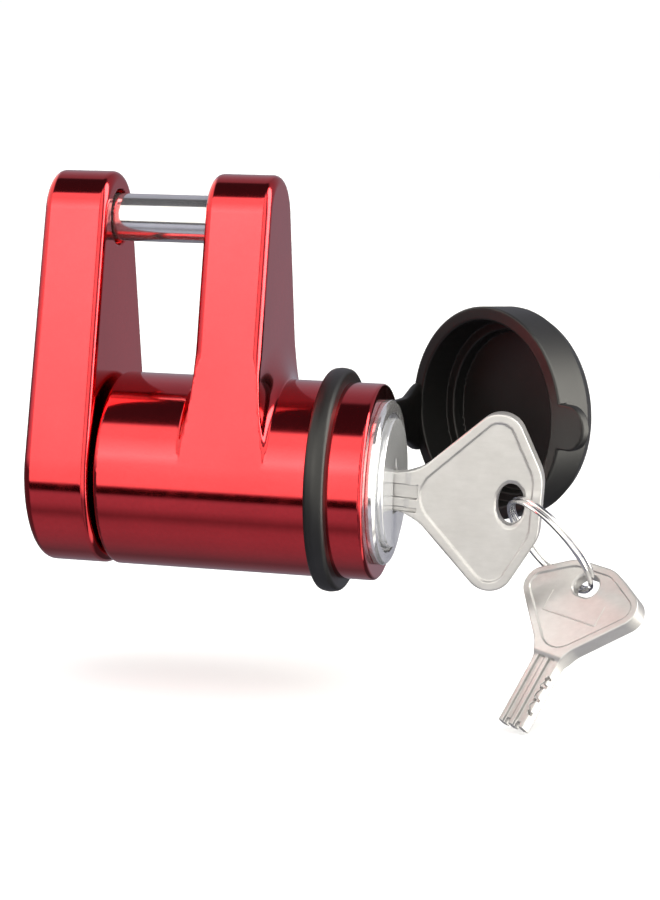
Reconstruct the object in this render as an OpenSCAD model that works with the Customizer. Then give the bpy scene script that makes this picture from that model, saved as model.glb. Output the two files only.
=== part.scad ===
// Trailer coupler lock: a barrel with a lug, a sliding end arm with a shackle
// pin, a keyed cylinder, a rubber dust cap on a strap, and two keys on a ring.
// X runs along the barrel towards the key, Z is up along the arms, Y is back.
// The origin is the centre of the shackle pin's open span. Millimetres.

/* [Shackle] */
// Shackle pin diameter
pin_d = 6.35; // [6:0.05:6.5]
// Open span between the two arms
span = 13.4; // [12:0.1:15]
// Height of the pin's axis above the barrel's axis
reach = 34; // [31:0.5:40]
// Radius of the arms' rounded tops
arm_top_r = 6.1; // [5:0.1:6.5]

/* [Body] */
// Barrel diameter
barrel_d = 26.2; // [25.6:0.1:27]
// Thickness of the sliding end arm
end_arm_t = 9.1; // [8:0.1:10]
// Thickness of the fixed lug
lug_t = 8.9; // [8:0.1:10]
// Barrel length from the lug to the key end
lock_end = 14.45; // [14.4:0.05:15]
// Seam between the end arm and the barrel
seam = 0.7; // [0.4:0.1:1]

/* [Cylinder] */
// Bore that holds the lock cylinder
core_bore_d = 20.2; // [20.2:0.1:20.6]
// Chrome flange diameter
flange_d = 22; // [21.6:0.1:23]
// Height of the flange over the barrel's face
flange_t = 1.2; // [1:0.1:1.6]
// Plug diameter
plug_d = 13; // [12.8:0.1:13.2]
// Plug face diameter
plug_face_d = 17.2; // [17:0.1:17.4]
// Number of wafer tumblers
wafer_n = 4; // [2:1:4]
// Distance between wafers
wafer_pitch = 1.8; // [1.7:0.05:1.8]

/* [Bolt] */
// Spindle diameter
spindle_d = 7; // [6.8:0.1:7.2]
// Travel of the locking bolt
bolt_travel = 2.4; // [2.2:0.1:2.4]

/* [Keys] */
// Thickness of a key's bow
bow_t = 3; // [2.6:0.1:3]
// Length of a key's blade
blade_l = 13; // [12:0.5:13]
// Height of a key's blade
blade_h = 5.2; // [5:0.1:5.3]
// Thickness of a key's blade
blade_t = 2.2; // [2:0.1:2.2]
// How far the key in the lock sags, in degrees
key_sag = 3.07; // [2.5:0.1:3.2]
// Size of the loose key against the key in the lock
key_2_scale = 0.78; // [0.76:0.01:0.8]
// Centreline radius of the key ring
ring_r = 7.55; // [7.5:0.05:7.6]
// Wire diameter of the key ring
ring_wire_d = 0.66; // [0.6:0.02:0.7]

/* [Rubber] */
// Outside radius of the rubber ring and of the dust cap
rubber_r = 15; // [14.8:0.1:15.2]
// Width of the rubber ring
rubber_ring_w = 2.7; // [2.5:0.1:2.8]
// Distance from the key end to the rubber ring
rubber_ring_gap = 4.7; // [4.6:0.1:4.8]
// Height of the strap
strap_w = 6.4; // [6:0.1:6.6]
// Thickness of the strap
strap_t = 1.7; // [1.5:0.1:1.8]
// Overall depth of the dust cap
cap_depth = 8.6; // [8.4:0.1:9]

/* [Hidden] */

$fn = 96;
eps = 0.01;
barrel_r = barrel_d / 2;
core_r = core_bore_d / 2;
spindle_r = spindle_d / 2;
plug_r = plug_d / 2;
pin_r = pin_d / 2;

// Stations along X
arm_x0 = -span / 2 - end_arm_t;
arm_x1 = -span / 2;
barrel_x0 = arm_x1 + seam;
lug_x0 = span / 2;
lug_x1 = lug_x0 + lug_t;
face_x = lug_x1 + lock_end;
flange_x = face_x + flange_t;
housing_x0 = face_x - 12.85;
plug_x0 = face_x - 14.85;
plug_x1 = flange_x + 0.6;
core_x0 = face_x - 23.25;
bolt_x0 = core_x0 + 0.3;
bolt_l = 6.2;
cam_x0 = bolt_x0 + bolt_l + 0.3;

// How far the lug's sides dip under the barrel's surface
lug_sunk = 0.15;
belt_inset = 0.02;

// Fits
running = 0.05;
spigot_r = 3;
spigot_l = 6.4;
nose_r = 2.9;
nose_l = 5.4;

// Spindle neck, which the bolt grips
neck_r = 2.1;
neck_l = 2.8;
head_l = 1.8;

// Eccentric of the cam: a quarter turn moves the bolt by its travel
eccentric = bolt_travel / 2 / sin(45);
eccentric_pin_r = 0.8;

// Keyway, lower than the plug's axis because the key rests on its floor
keyway_top = 3.1;
keyway_bottom = -3.9;
keyway_x0 = face_x - 10.15;
wafer_x = face_x - 8.1;

// Key in the lock
key_x = face_x + 3.7;
key_z = -reach - 1.05;
hole_u = 13.65;
hole_r = 1.86;
hole_half = 0.9;
bow_rim = 1.25;
panel_deep = 0.3;
bow_disks = [[1.71, 0, 2.6], [11.55, -8.48, 3.34], [11.73, -2.64, 5.96],
             [11.73, 2.64, 5.96], [11.55, 8.48, 3.34]];

// Key ring: it crosses the first key's hole and the second key's hole
ring_a = [face_x + 17.55, 0, -reach - 1.5];
ring_dir = unit([10.45, -0.7, -10.9]);
ring_c = ring_a + ring_r * ring_dir;
ring_side = unit([0.354, -0.871, 0.339]);
ring_axis = unit(cross(ring_dir, ring_side));

// Loose key: its bow's direction, and the plane it lies in
key_2_hole = ring_a + 2 * ring_r * ring_dir;
key_2_turn = [7.6, -52.4, 50.9];

// Dust cap: centre of its rim, and the way it opens
cap_c = [face_x + 10.49, 18, -reach + 7.33];
cap_turn = [0, 90, -128.06];
cap_wall = 1.9;
cap_step_z = 4.75;
cap_step_r = 11.5;
cap_floor_z = 6.6;

// Strap, as a path in plan. The hinge is a thin web at strap_hinge
strap_z = -reach + 5.3;
ring_x1 = face_x - rubber_ring_gap;
ring_x0 = ring_x1 - rubber_ring_w;
strap_hinge = [face_x - 2.4, 19];
strap_dir = unit([0.237, 0.972]);
strap_root = [face_x - 5.4, 14.2];
strap_bend = [face_x - 3.75, 15.7];
strap_end = [face_x - 0.45, 27];
web_r = 0.25;
web_gap = 0.4;

function unit(v) = v / norm(v);

// Disks are [x, y, r], listed counter-clockwise. The angle is that of the
// outer normal of the straight side from disk a to disk b.
function side_angle(a, b) =
  atan2(b[1] - a[1], b[0] - a[0])
  - acos((a[2] - b[2]) / norm([b[0] - a[0], b[1] - a[1]]));

function on_disk(d, angle) = [d[0] + d[2] * cos(angle), d[1] + d[2] * sin(angle)];

function belt(disks) = [
  for (i = [0 : len(disks) - 1])
    let (a = disks[i], b = disks[(i + 1) % len(disks)], t = side_angle(a, b))
      each [on_disk(a, t), on_disk(b, t)]
];

// Outline of a belt pulled round a set of disks; the belt's straight
// sides lie a hair inside the tangent lines
module belted(disks) {
  polygon(belt([for (d = disks) [d[0], d[1], d[2] - belt_inset]]));
  for (d = disks)
    translate([d[0], d[1]])
      circle(d[2]);
}

// A chain of belts between one disk and the next
module chain(disks) {
  for (i = [0 : len(disks) - 2])
    belted([disks[i], disks[i + 1]]);
}

// Solid along X from x0 to x1, on the barrel's axis
module rod(x0, x1, r) {
  translate([x0, 0, -reach])
    rotate([0, 90, 0])
      cylinder(h = x1 - x0, r = r);
}

// Solid along X from x0 to x1, on the shackle pin's axis
module pin_rod(x0, x1, r, r_end = undef) {
  translate([x0, 0, 0])
    rotate([0, 90, 0])
      cylinder(h = x1 - x0, r1 = r, r2 = is_undef(r_end) ? r : r_end);
}

// Box around the barrel's axis, from x0 to x1, given by its Y and Z limits
module bar(x0, x1, y, z) {
  translate([x0, y[0], -reach + z[0]])
    cube([x1 - x0, y[1] - y[0], z[1] - z[0]]);
}

// Tapered arm: a large circle on the barrel's axis, a small round top above
module arm_slab(x0, x1, root_r) {
  translate([x0, 0, 0])
    rotate([90, 0, 90])
      linear_extrude(x1 - x0)
        belted([[0, -reach, root_r], [0, 0, arm_top_r]]);
}

module lock_body() {
  color("crimson")
    difference() {
      union() {
        rod(barrel_x0, face_x, barrel_r);
        arm_slab(lug_x0, lug_x1, barrel_r - lug_sunk);
      }
      rod(core_x0, face_x + 1, core_r);
      rod(barrel_x0 - 1, core_x0 + 1, spindle_r + running);
      pin_rod(lug_x0 - 1, lug_x0 + 0.5, pin_r + 0.3);
      pin_rod(lug_x0, lug_x0 + nose_l + 0.8, nose_r + 0.08);
      housing_pin_shape(1);
    }
}

// Roll pin up through the barrel's wall into the cylinder housing
module housing_pin_shape(extra) {
  translate([(ring_x0 + ring_x1) / 2, 0, -reach - barrel_r + 0.1 - extra])
    cylinder(h = 5.4 + extra, r = 1.25);
}

module housing_pin() {
  color("dimgray")
    difference() {
      housing_pin_shape(0);
      translate([0, 0, -0.5])
        housing_pin_bore();
    }
}

module housing_pin_bore() {
  translate([(ring_x0 + ring_x1) / 2, 0, -reach - barrel_r - 1])
    cylinder(h = 8, r = 0.7);
}

module cylinder_housing() {
  color("gainsboro")
    difference() {
      union() {
        rod(housing_x0, face_x, core_r);
        rod(face_x, flange_x, flange_d / 2);
      }
      rod(housing_x0 - 1, flange_x, plug_r + running);
      rod(face_x - 0.75, flange_x + 1, 9);
      bar(wafer_x - 1.2, wafer_x + 3 * wafer_pitch + 1.2, [-4.3, 4.3], [-7.6, 7.6]);
      housing_pin_shape(0);
    }
}

// Two D-shaped rails that the bolt slides between
module bolt_guides() {
  color("silver")
    difference() {
      rod(core_x0, core_x0 + 6.7, core_r);
      bar(core_x0 - 1, core_x0 + 8, [-5.65, 5.65], [-12, 12]);
    }
}

module locking_bolt() {
  pocket_x0 = bolt_x0 + 2.2;
  slab_x0 = bolt_x0 + 4.7;
  half = bolt_travel / 2;
  color("darkgray")
    translate([0, 0, half])
      difference() {
        bar(bolt_x0, bolt_x0 + bolt_l, [-5.5, 5.5], [-6.4, 6.4]);
        translate([0, 0, -half])
          rod(bolt_x0 - 1, slab_x0, spindle_r + 0.3);
        translate([0, 0, half])
          rod(pocket_x0, slab_x0, spindle_r + 0.3);
        bar(pocket_x0, slab_x0, [-spindle_r - 0.3, spindle_r + 0.3], [-half, half]);
        translate([0, 0, half])
          rod(bolt_x0 - 1, pocket_x0 + 1, neck_r + 0.3);
        bar(bolt_x0 - 1, pocket_x0 + 1, [-neck_r - 0.3, neck_r + 0.3], [-half, half]);
        bar(slab_x0 - 1, bolt_x0 + bolt_l + 1, [0, 2.9], [-1.1, 1.1]);
      }
}

module end_arm() {
  color("crimson")
    difference() {
      arm_slab(arm_x0, arm_x1, barrel_r);
      pin_rod(arm_x1 - spigot_l, arm_x1 + 1, spigot_r);
      pin_rod(arm_x1 - 0.7, arm_x1 + 0.3, spigot_r - 0.1, 4.2);
      rod(arm_x1 - spigot_l, arm_x1 + 1, spigot_r);
      arm_roll_pin_shapes(1);
    }
}

// Cross pins that keep the shackle pin and the spindle in the end arm
module arm_roll_pin_shapes(extra) {
  pin_x = arm_x1 - spigot_l / 2 - 0.4;
  translate([pin_x, arm_top_r - 0.25 + extra, 0])
    rotate([90, 0, 0])
      cylinder(h = 8 + extra, r = 1);
  translate([pin_x, 0, -reach - barrel_r + 0.15 - extra])
    cylinder(h = 14 + extra, r = 1);
}

module arm_roll_pins() {
  color("dimgray")
    arm_roll_pin_shapes(0);
}

module shackle_pin() {
  color("silver")
    difference() {
      union() {
        pin_rod(arm_x1 - spigot_l, arm_x1, spigot_r);
        pin_rod(arm_x1, lug_x0, pin_r);
        pin_rod(lug_x0, lug_x0 + nose_l - 0.6, nose_r);
        pin_rod(lug_x0 + nose_l - 0.6, lug_x0 + nose_l, nose_r, nose_r - 0.6);
      }
      arm_roll_pin_shapes(0);
    }
}

module spindle() {
  neck_x0 = core_x0;
  neck_x1 = neck_x0 + neck_l;
  color("darkgray")
    difference() {
      union() {
        rod(arm_x1 - spigot_l, arm_x1, spigot_r);
        rod(arm_x1, neck_x0, spindle_r);
        rod(neck_x0, neck_x1, neck_r);
        rod(neck_x1, neck_x1 + head_l - 0.8, spindle_r);
        translate([neck_x1 + head_l - 0.8, 0, -reach])
          rotate([0, 90, 0])
            cylinder(h = 0.8, r1 = spindle_r, r2 = spindle_r - 0.8);
      }
      seal_groove();
      arm_roll_pin_shapes(0);
    }
}

module seal_groove() {
  difference() {
    rod(barrel_x0 + 3, barrel_x0 + 4.2, spindle_r + 1);
    rod(barrel_x0 + 2, barrel_x0 + 5, spindle_r - 1);
  }
}

module spindle_seal() {
  color("black")
    translate([barrel_x0 + 3.6, 0, -reach])
      rotate([0, 90, 0])
        rotate_extrude()
          translate([spindle_r - 0.47, 0])
            circle(0.48);
}

module wafer_shape(x, t, clear) {
  intersection() {
    rod(x - t / 2, x + t / 2, plug_r - running + 3 * clear);
    bar(x - t, x + t, [-4 - clear, 4 + clear], [-plug_r - 1, plug_r + 1]);
  }
}

module keyway(grow) {
  bar(keyway_x0, flange_x + 1, [-blade_t / 2 - grow, blade_t / 2 + grow],
      [keyway_bottom, keyway_top]);
}

module plug() {
  color("gainsboro")
    difference() {
      union() {
        rod(plug_x0, face_x - 0.6, plug_r);
        rod(face_x - 0.6, plug_x1, plug_face_d / 2);
      }
      keyway(0.3);
      for (i = [0 : wafer_n - 1])
        wafer_shape(wafer_x + i * wafer_pitch, 1.1, 0.05);
      difference() {
        rod(housing_x0 - 0.55, housing_x0 - 0.1, plug_r + 1);
        rod(housing_x0 - 1, housing_x0 + 1, plug_r - 0.8);
      }
      bar(plug_x0 - 1, plug_x0 + 1.3, [-1.02, 1.02], [-plug_r - 1, plug_r + 1]);
    }
}

// Spring clip behind the housing, open at one side
module plug_clip() {
  color("dimgray")
    translate([housing_x0 - 0.5, 0, -reach])
      rotate([0, 90, 0])
        rotate_extrude(angle = 290)
          translate([plug_r - 0.8, 0])
            square([2.7, 0.35]);
}

module cam() {
  color("darkgray") {
    rod(cam_x0, plug_x0, 5.5);
    bar(plug_x0 - eps, plug_x0 + 1.2, [-1, 1], [-4, 4]);
    translate([0, eccentric * cos(45), eccentric * sin(45)])
      rod(cam_x0 - 1.6, cam_x0 + eps, eccentric_pin_r);
  }
}

module wafers() {
  color("goldenrod")
    for (i = [0 : wafer_n - 1])
      difference() {
        wafer_shape(wafer_x + i * wafer_pitch, 1, 0);
        keyway(0.35);
        bar(wafer_x - 2, face_x, [2.25, 3.55], [-4.7, -1.3]);
      }
}

// Closed tube along a coil, standing on Z
module coil(r, wire_r, height, turns) {
  steps = turns * 12;
  sides = 6;
  points = [
    for (i = [0 : steps], j = [0 : sides - 1])
      let (a = 30 * i, b = 360 / sides * j, q = r + wire_r * cos(b))
        [q * cos(a), q * sin(a), height * i / steps + wire_r * sin(b)]
  ];
  skin = [
    for (i = [0 : steps - 1], j = [0 : sides - 1])
      let (k = (j + 1) % sides)
        [i * sides + j, (i + 1) * sides + j, (i + 1) * sides + k, i * sides + k]
  ];
  first = [for (j = [0 : sides - 1]) j];
  last = [for (j = [sides - 1 : -1 : 0]) steps * sides + j];
  polyhedron(points, concat(skin, [first, last]));
}

module wafer_springs() {
  color("silver")
    for (i = [0 : wafer_n - 1])
      translate([wafer_x + i * wafer_pitch, 2.9, -reach - 4.5])
        coil(0.38, 0.09, 3, 5);
}

module cap_ring() {
  edge = 0.6;
  color("black")
    translate([ring_x0, 0, -reach])
      rotate([90, 0, 90])
        rotate_extrude()
          polygon([[barrel_r, 0], [rubber_r - edge, 0], [rubber_r, edge],
                   [rubber_r, rubber_ring_w - edge],
                   [rubber_r - edge, rubber_ring_w], [barrel_r, rubber_ring_w]]);
}

module strap_prism(disks) {
  translate([0, 0, strap_z - strap_w / 2])
    linear_extrude(strap_w)
      chain(disks);
}

function strap_disk(p, r) = [p[0], p[1], r];

// The part of the strap between the rubber ring and the hinge web
module cap_strap() {
  color("black")
    difference() {
      strap_prism([strap_disk(strap_root, strap_t / 2),
                   strap_disk(strap_bend, strap_t / 2),
                   strap_disk(strap_hinge - 1.5 * strap_dir, strap_t / 2),
                   strap_disk(strap_hinge - web_gap * strap_dir, web_r)]);
      translate([ring_x1 - 10, 0, strap_z - strap_w])
        cube([10, 30, 2 * strap_w]);
    }
}

module cap_shell() {
  inner = rubber_r - cap_wall;
  rotate_extrude()
    polygon([[inner, 0], [rubber_r, 0], [rubber_r, -4.6],
             [rubber_r - 0.9, -6.7], [rubber_r - 2.6, -8],
             [rubber_r - 4.6, -cap_depth], [0, -cap_depth],
             [0, -cap_floor_z], [cap_step_r, -cap_floor_z],
             [cap_step_r, -cap_step_z], [inner, -cap_step_z]]);
}

// Half-round pull tab on the rim, opposite the strap
module cap_tab() {
  translate([0, 0, -2])
    linear_extrude(1.7)
      difference() {
        belted([[0, rubber_r + 1.2, 3.1], [0, rubber_r - 1, 3.1]]);
        circle(rubber_r - 0.9);
      }
}

module dust_cap() {
  color("black") {
    translate(cap_c)
      rotate(cap_turn) {
        cap_shell();
        cap_tab();
      }
    strap_prism([strap_disk(strap_hinge + web_gap * strap_dir, web_r),
                 strap_disk(strap_hinge + 1.5 * strap_dir, strap_t / 2),
                 strap_disk(strap_end, strap_t / 2)]);
  }
}

// Oval hole for the key ring
module ring_hole() {
  for (s = [-1, 1])
    translate([hole_u, s * hole_half])
      circle(hole_r);
  translate([hole_u - hole_r, -hole_half])
    square([2 * hole_r, 2 * hole_half]);
}

// A key in its own plane: the bow towards +X and the blade towards -X
module key() {
  panel = [for (d = bow_disks) [d[0], d[1], d[2] - bow_rim]];
  difference() {
    union() {
      translate([0, 0, -bow_t / 2])
        linear_extrude(bow_t)
          belted(bow_disks);
      translate([-blade_l, -blade_h / 2, -blade_t / 2])
        cube([blade_l + 1.5, blade_h, blade_t]);
    }
    for (s = [-1, 1])
      translate([0, 0, s * bow_t / 2 - panel_deep])
        linear_extrude(2 * panel_deep)
          belted(panel);
    translate([0, 0, -bow_t])
      linear_extrude(2 * bow_t)
        ring_hole();
    for (s = [-1, 1], v = [-1.1, 1.1])
      translate([-blade_l - 1, v - 0.45, s * blade_t / 2 - 0.45])
        cube([blade_l + 0.5, 0.9, 0.9]);
  }
}

module key_1() {
  color("silver")
    translate([key_x, 0, key_z])
      rotate([90, key_sag, 0])
        key();
}

module key_2() {
  color("silver")
    translate(key_2_hole)
      rotate(key_2_turn)
        scale(key_2_scale)
          translate([-hole_u, 0, 0])
            key();
}

// Split ring: two coils of wire side by side
module key_ring() {
  half = ring_wire_d / 2;
  color("silver")
    translate(ring_c)
      rotate([0, acos(ring_axis[2]), atan2(ring_axis[1], ring_axis[0])])
        rotate_extrude()
          translate([ring_r, 0]) {
            translate([0, -half + 0.04])
              circle(half);
            translate([0, half - 0.04])
              circle(half);
          }
}

lock_body();
cylinder_housing();
housing_pin();
bolt_guides();
locking_bolt();
end_arm();
shackle_pin();
spindle();
spindle_seal();
arm_roll_pins();
plug();
plug_clip();
cam();
wafers();
wafer_springs();
cap_ring();
cap_strap();
dust_cap();
key_1();
key_ring();
key_2();
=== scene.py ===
import math

import bmesh
import bpy
import numpy as np
from mathutils import Matrix, Vector


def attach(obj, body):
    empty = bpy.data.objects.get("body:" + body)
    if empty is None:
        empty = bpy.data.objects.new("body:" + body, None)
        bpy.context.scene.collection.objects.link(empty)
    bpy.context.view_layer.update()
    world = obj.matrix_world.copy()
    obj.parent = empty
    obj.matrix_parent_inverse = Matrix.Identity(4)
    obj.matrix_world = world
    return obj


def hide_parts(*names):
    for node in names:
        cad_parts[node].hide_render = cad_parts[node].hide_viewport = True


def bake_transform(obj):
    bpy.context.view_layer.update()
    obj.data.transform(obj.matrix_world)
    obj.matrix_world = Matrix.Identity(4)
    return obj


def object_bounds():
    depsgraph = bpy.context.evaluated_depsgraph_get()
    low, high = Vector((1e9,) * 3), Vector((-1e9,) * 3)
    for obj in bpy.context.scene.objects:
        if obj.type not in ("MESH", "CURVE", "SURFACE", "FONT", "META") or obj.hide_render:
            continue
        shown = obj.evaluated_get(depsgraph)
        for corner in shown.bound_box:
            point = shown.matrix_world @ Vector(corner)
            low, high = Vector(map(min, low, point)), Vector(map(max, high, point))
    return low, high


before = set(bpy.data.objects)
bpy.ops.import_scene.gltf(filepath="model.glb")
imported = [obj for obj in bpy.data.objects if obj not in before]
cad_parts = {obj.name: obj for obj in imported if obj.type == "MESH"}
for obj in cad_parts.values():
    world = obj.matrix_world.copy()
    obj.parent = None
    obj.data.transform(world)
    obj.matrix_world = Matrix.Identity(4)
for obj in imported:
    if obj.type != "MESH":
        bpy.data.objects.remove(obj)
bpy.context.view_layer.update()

# Lengths are in millimetres until a mesh is made, and MM takes them to metres.
MM = 0.001
scene = bpy.context.scene

# Sizes and places shared with the CAD model. The origin is the centre of the
# shackle pin's open span, X runs towards the key, Y to the back and Z up.
REACH = 34.0
BARREL_R = 13.1
TOP_R = 6.1
PIN_R = 3.175
PRESS_R, PRESS_L = 3.0, 6.4
NOSE_R, NOSE_L = 2.9, 5.4
ARM_X0, ARM_X1 = -15.8, -6.7
BARREL_X0 = -6.0
LUG_X0, LUG_X1 = 6.7, 15.6
FACE_X = 30.05
FLANGE_X = 31.25
FLANGE_R = 11.0
CORE_R, CORE_X0 = 10.1, 6.8
RECESS_X = FACE_X - 0.75
SPINDLE_R = 3.5
PLUG_R, PLUG_FACE_R, PLUG_X1 = 6.5, 8.6, 31.85
RING_X0, RING_X1 = 22.65, 25.35
RUBBER_R = 15.0
CAP_C = Vector((40.54, 18.0, -26.67))
CAP_TURN = (0.0, 90.0, -128.06)
KEY_AT = Vector((33.75, 0.0, -35.05))
KEY_TURN = (90.0, 3.07, 0.0)
KEY_2_AT = Vector((58.039, -0.699, -46.388))
KEY_2_TURN = (7.6, -52.4, 50.9)
KEY_2_SCALE = 0.78
HOLE_U, HOLE_R, HOLE_HALF = 13.65, 1.86, 0.9
WIRE_RING_R, WIRE_R = 7.55, 0.33
RING_C = Vector((52.82, -0.35, -40.944))
RING_AXIS = Vector((-0.6446, -0.4903, -0.5865)).normalized()


# ---------------------------------------------------------------- fields
# A field is negative inside a shape. These join fields with rounded edges.

def round_union(a, b, r):
    return np.maximum(r, np.minimum(a, b)) - np.hypot(np.maximum(r - a, 0), np.maximum(r - b, 0))


def round_cut(a, b, r):
    return np.minimum(-r, np.maximum(a, b)) + np.hypot(np.maximum(r + a, 0), np.maximum(r + b, 0))


def between(v, lo, hi):
    return np.abs(v - (lo + hi) / 2) - (hi - lo) / 2


def smooth(a, b, v):
    t = np.clip((v - a) / (b - a), 0, 1)
    return t * t * (3 - 2 * t)


def teardrop(y, z):
    """Arm profile: the barrel's circle and the small top circle, joined by tangents."""
    px, py = np.abs(y), z + REACH
    b = (BARREL_R - TOP_R) / REACH
    a = math.sqrt(1 - b * b)
    k = -b * px + a * py
    side = px * a + py * b - BARREL_R
    return np.where(k < 0, np.hypot(px, py) - BARREL_R,
                    np.where(k > a * REACH, np.hypot(px, py - REACH) - TOP_R, side))


def polygon_field(x, y, points):
    """Signed distance to a closed polygon."""
    shape = np.shape(x)
    x, y = np.ravel(x), np.ravel(y)
    best = np.full(x.shape, 1e18)
    inside = np.zeros(x.shape, bool)
    n = len(points)
    for i in range(n):
        (ax, ay), (bx, by) = points[i], points[(i + 1) % n]
        ex, ey = bx - ax, by - ay
        wx, wy = x - ax, y - ay
        t = np.clip((wx * ex + wy * ey) / (ex * ex + ey * ey), 0, 1)
        best = np.minimum(best, (wx - ex * t) ** 2 + (wy - ey * t) ** 2)
        if ay != by:
            crosses = ((ay > y) != (by > y)) & (x < ex * (y - ay) / (by - ay) + ax)
            inside ^= crosses
    return (np.sqrt(best) * np.where(inside, -1, 1)).reshape(shape)


def inset(points, by):
    """A polygon moved inwards by the same distance all round (counter-clockwise points)."""
    out = []
    n = len(points)
    for i in range(n):
        p0, p1, p2 = (np.array(points[(i + k - 1) % n], float) for k in range(3))
        e1, e2 = (p1 - p0) / np.linalg.norm(p1 - p0), (p2 - p1) / np.linalg.norm(p2 - p1)
        n1, n2 = np.array([e1[1], -e1[0]]), np.array([e2[1], -e2[0]])
        out.append(tuple(p1 - (n1 + n2) / (1 + n1 @ n2) * by))
    return out


def belt(disks, per_disk=18):
    """Points of the outline of a belt round disks (x, y, r), counter-clockwise."""
    angles = []
    n = len(disks)
    for i in range(n):
        a, b = disks[i], disks[(i + 1) % n]
        d = math.hypot(b[0] - a[0], b[1] - a[1])
        angles.append(math.atan2(b[1] - a[1], b[0] - a[0]) - math.acos((a[2] - b[2]) / d))
    points = []
    for i, (x, y, r) in enumerate(disks):
        start, end = angles[i - 1], angles[i]
        end += math.tau * math.ceil((start - end) / math.tau)
        for k in range(per_disk):
            t = start + (end - start) * k / (per_disk - 1)
            points.append((x + r * math.cos(t), y + r * math.sin(t)))
    return points


# ---------------------------------------------------------------- meshing

def gradient(field, p, h):
    g = np.empty_like(p)
    for k in range(3):
        q, s = p.copy(), p.copy()
        q[:, k] += h
        s[:, k] -= h
        g[:, k] = (field(*q.T) - field(*s.T)) / (2 * h)
    return g


def field_mesh(name, field, lo, hi, step, soft=0.06):
    """Closed quad mesh of field = 0, its points moved onto the surface and its
    normals taken from the field over a distance of soft."""
    axes = [np.arange(a, b + step, step) for a, b in zip(lo, hi)]
    grid = np.meshgrid(*axes, indexing="ij")
    v = field(*grid)
    s = v < 0
    corners = [(i, j, k) for i in (0, 1) for j in (0, 1) for k in (0, 1)]
    n = [len(a) - 1 for a in axes]

    def corner(arr, c):
        return arr[c[0]:c[0] + n[0], c[1]:c[1] + n[1], c[2]:c[2] + n[2]]

    count = sum(corner(s, c).astype(np.int8) for c in corners)
    active = (count > 0) & (count < 8)
    cell = np.full(active.shape, -1, np.int64)
    cell[active] = np.arange(active.sum())
    at = np.argwhere(active)
    total, hits = np.zeros((len(at), 3)), np.zeros(len(at))
    for c in corners:
        for axis in range(3):
            if c[axis]:
                continue
            d = tuple(c[k] + (k == axis) for k in range(3))
            va = v[tuple((at + c).T)]
            vb = v[tuple((at + d).T)]
            cross = (va < 0) != (vb < 0)
            t = np.where(cross, va / np.where(cross, va - vb, 1), 0)
            offset = np.array(c, float)[None, :].repeat(len(at), 0)
            offset[:, axis] += t
            total += offset * cross[:, None]
            hits += cross
    p = (at + total / hits[:, None]) * step + np.array([a[0] for a in axes])
    for _ in range(4):
        g = gradient(field, p, 0.01)
        f = field(*p.T)
        move = g * (f / np.maximum((g * g).sum(1), 0.05))[:, None]
        size = np.linalg.norm(move, axis=1)
        p -= move * np.minimum(1, 0.5 * step / np.maximum(size, 1e-9))[:, None]
    quads = []
    for axis in range(3):
        u, w = (axis + 1) % 3, (axis + 2) % 3
        lo_s = [slice(None)] * 3
        hi_s = [slice(None)] * 3
        lo_s[axis], hi_s[axis] = slice(0, -1), slice(1, None)
        for q in (u, w):
            lo_s[q] = hi_s[q] = slice(1, -1)
        a, b = s[tuple(lo_s)], s[tuple(hi_s)]
        for flip, where in ((False, a & ~b), (True, ~a & b)):
            e = np.argwhere(where)
            e[:, u] += 1
            e[:, w] += 1
            ring = []
            for du, dw in ((-1, -1), (0, -1), (0, 0), (-1, 0)):
                c = e.copy()
                c[:, u] += du
                c[:, w] += dw
                ring.append(cell[tuple(c.T)])
            ring = np.stack(ring, 1)
            quads.append(ring[:, ::-1] if flip else ring)
    normals = gradient(field, p, soft)
    normals /= np.maximum(np.linalg.norm(normals, axis=1), 1e-9)[:, None]
    return solid(name, p, np.concatenate(quads), normals)


def solid(name, points, faces, normals=None):
    """Mesh object from points in millimetres and faces (an array of quads, or lists)."""
    mesh = bpy.data.meshes.new(name)
    points = np.asarray(points, float) * MM
    if isinstance(faces, np.ndarray):
        mesh.vertices.add(len(points))
        mesh.vertices.foreach_set("co", points.astype(np.float32).ravel())
        mesh.loops.add(faces.size)
        mesh.loops.foreach_set("vertex_index", faces.astype(np.int32).ravel())
        mesh.polygons.add(len(faces))
        mesh.polygons.foreach_set("loop_start", np.arange(0, faces.size, 4, dtype=np.int32))
        mesh.update(calc_edges=True)
        mesh.validate()
    else:
        mesh.from_pydata([tuple(q) for q in points], [], faces)
        mesh.update()
    mesh.shade_smooth()
    if normals is not None and len(normals) == len(mesh.vertices):
        mesh.normals_split_custom_set_from_vertices(normals)
    obj = bpy.data.objects.new(name, mesh)
    scene.collection.objects.link(obj)
    return obj


def sharpen(obj, degrees=28):
    """Flat-looking edges where two faces meet at more than this angle."""
    bm = bmesh.new()
    bm.from_mesh(obj.data)
    for e in bm.edges:
        if len(e.link_faces) == 2 and e.calc_face_angle() > math.radians(degrees):
            e.smooth = False
    bm.to_mesh(obj.data)
    bm.free()


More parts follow.
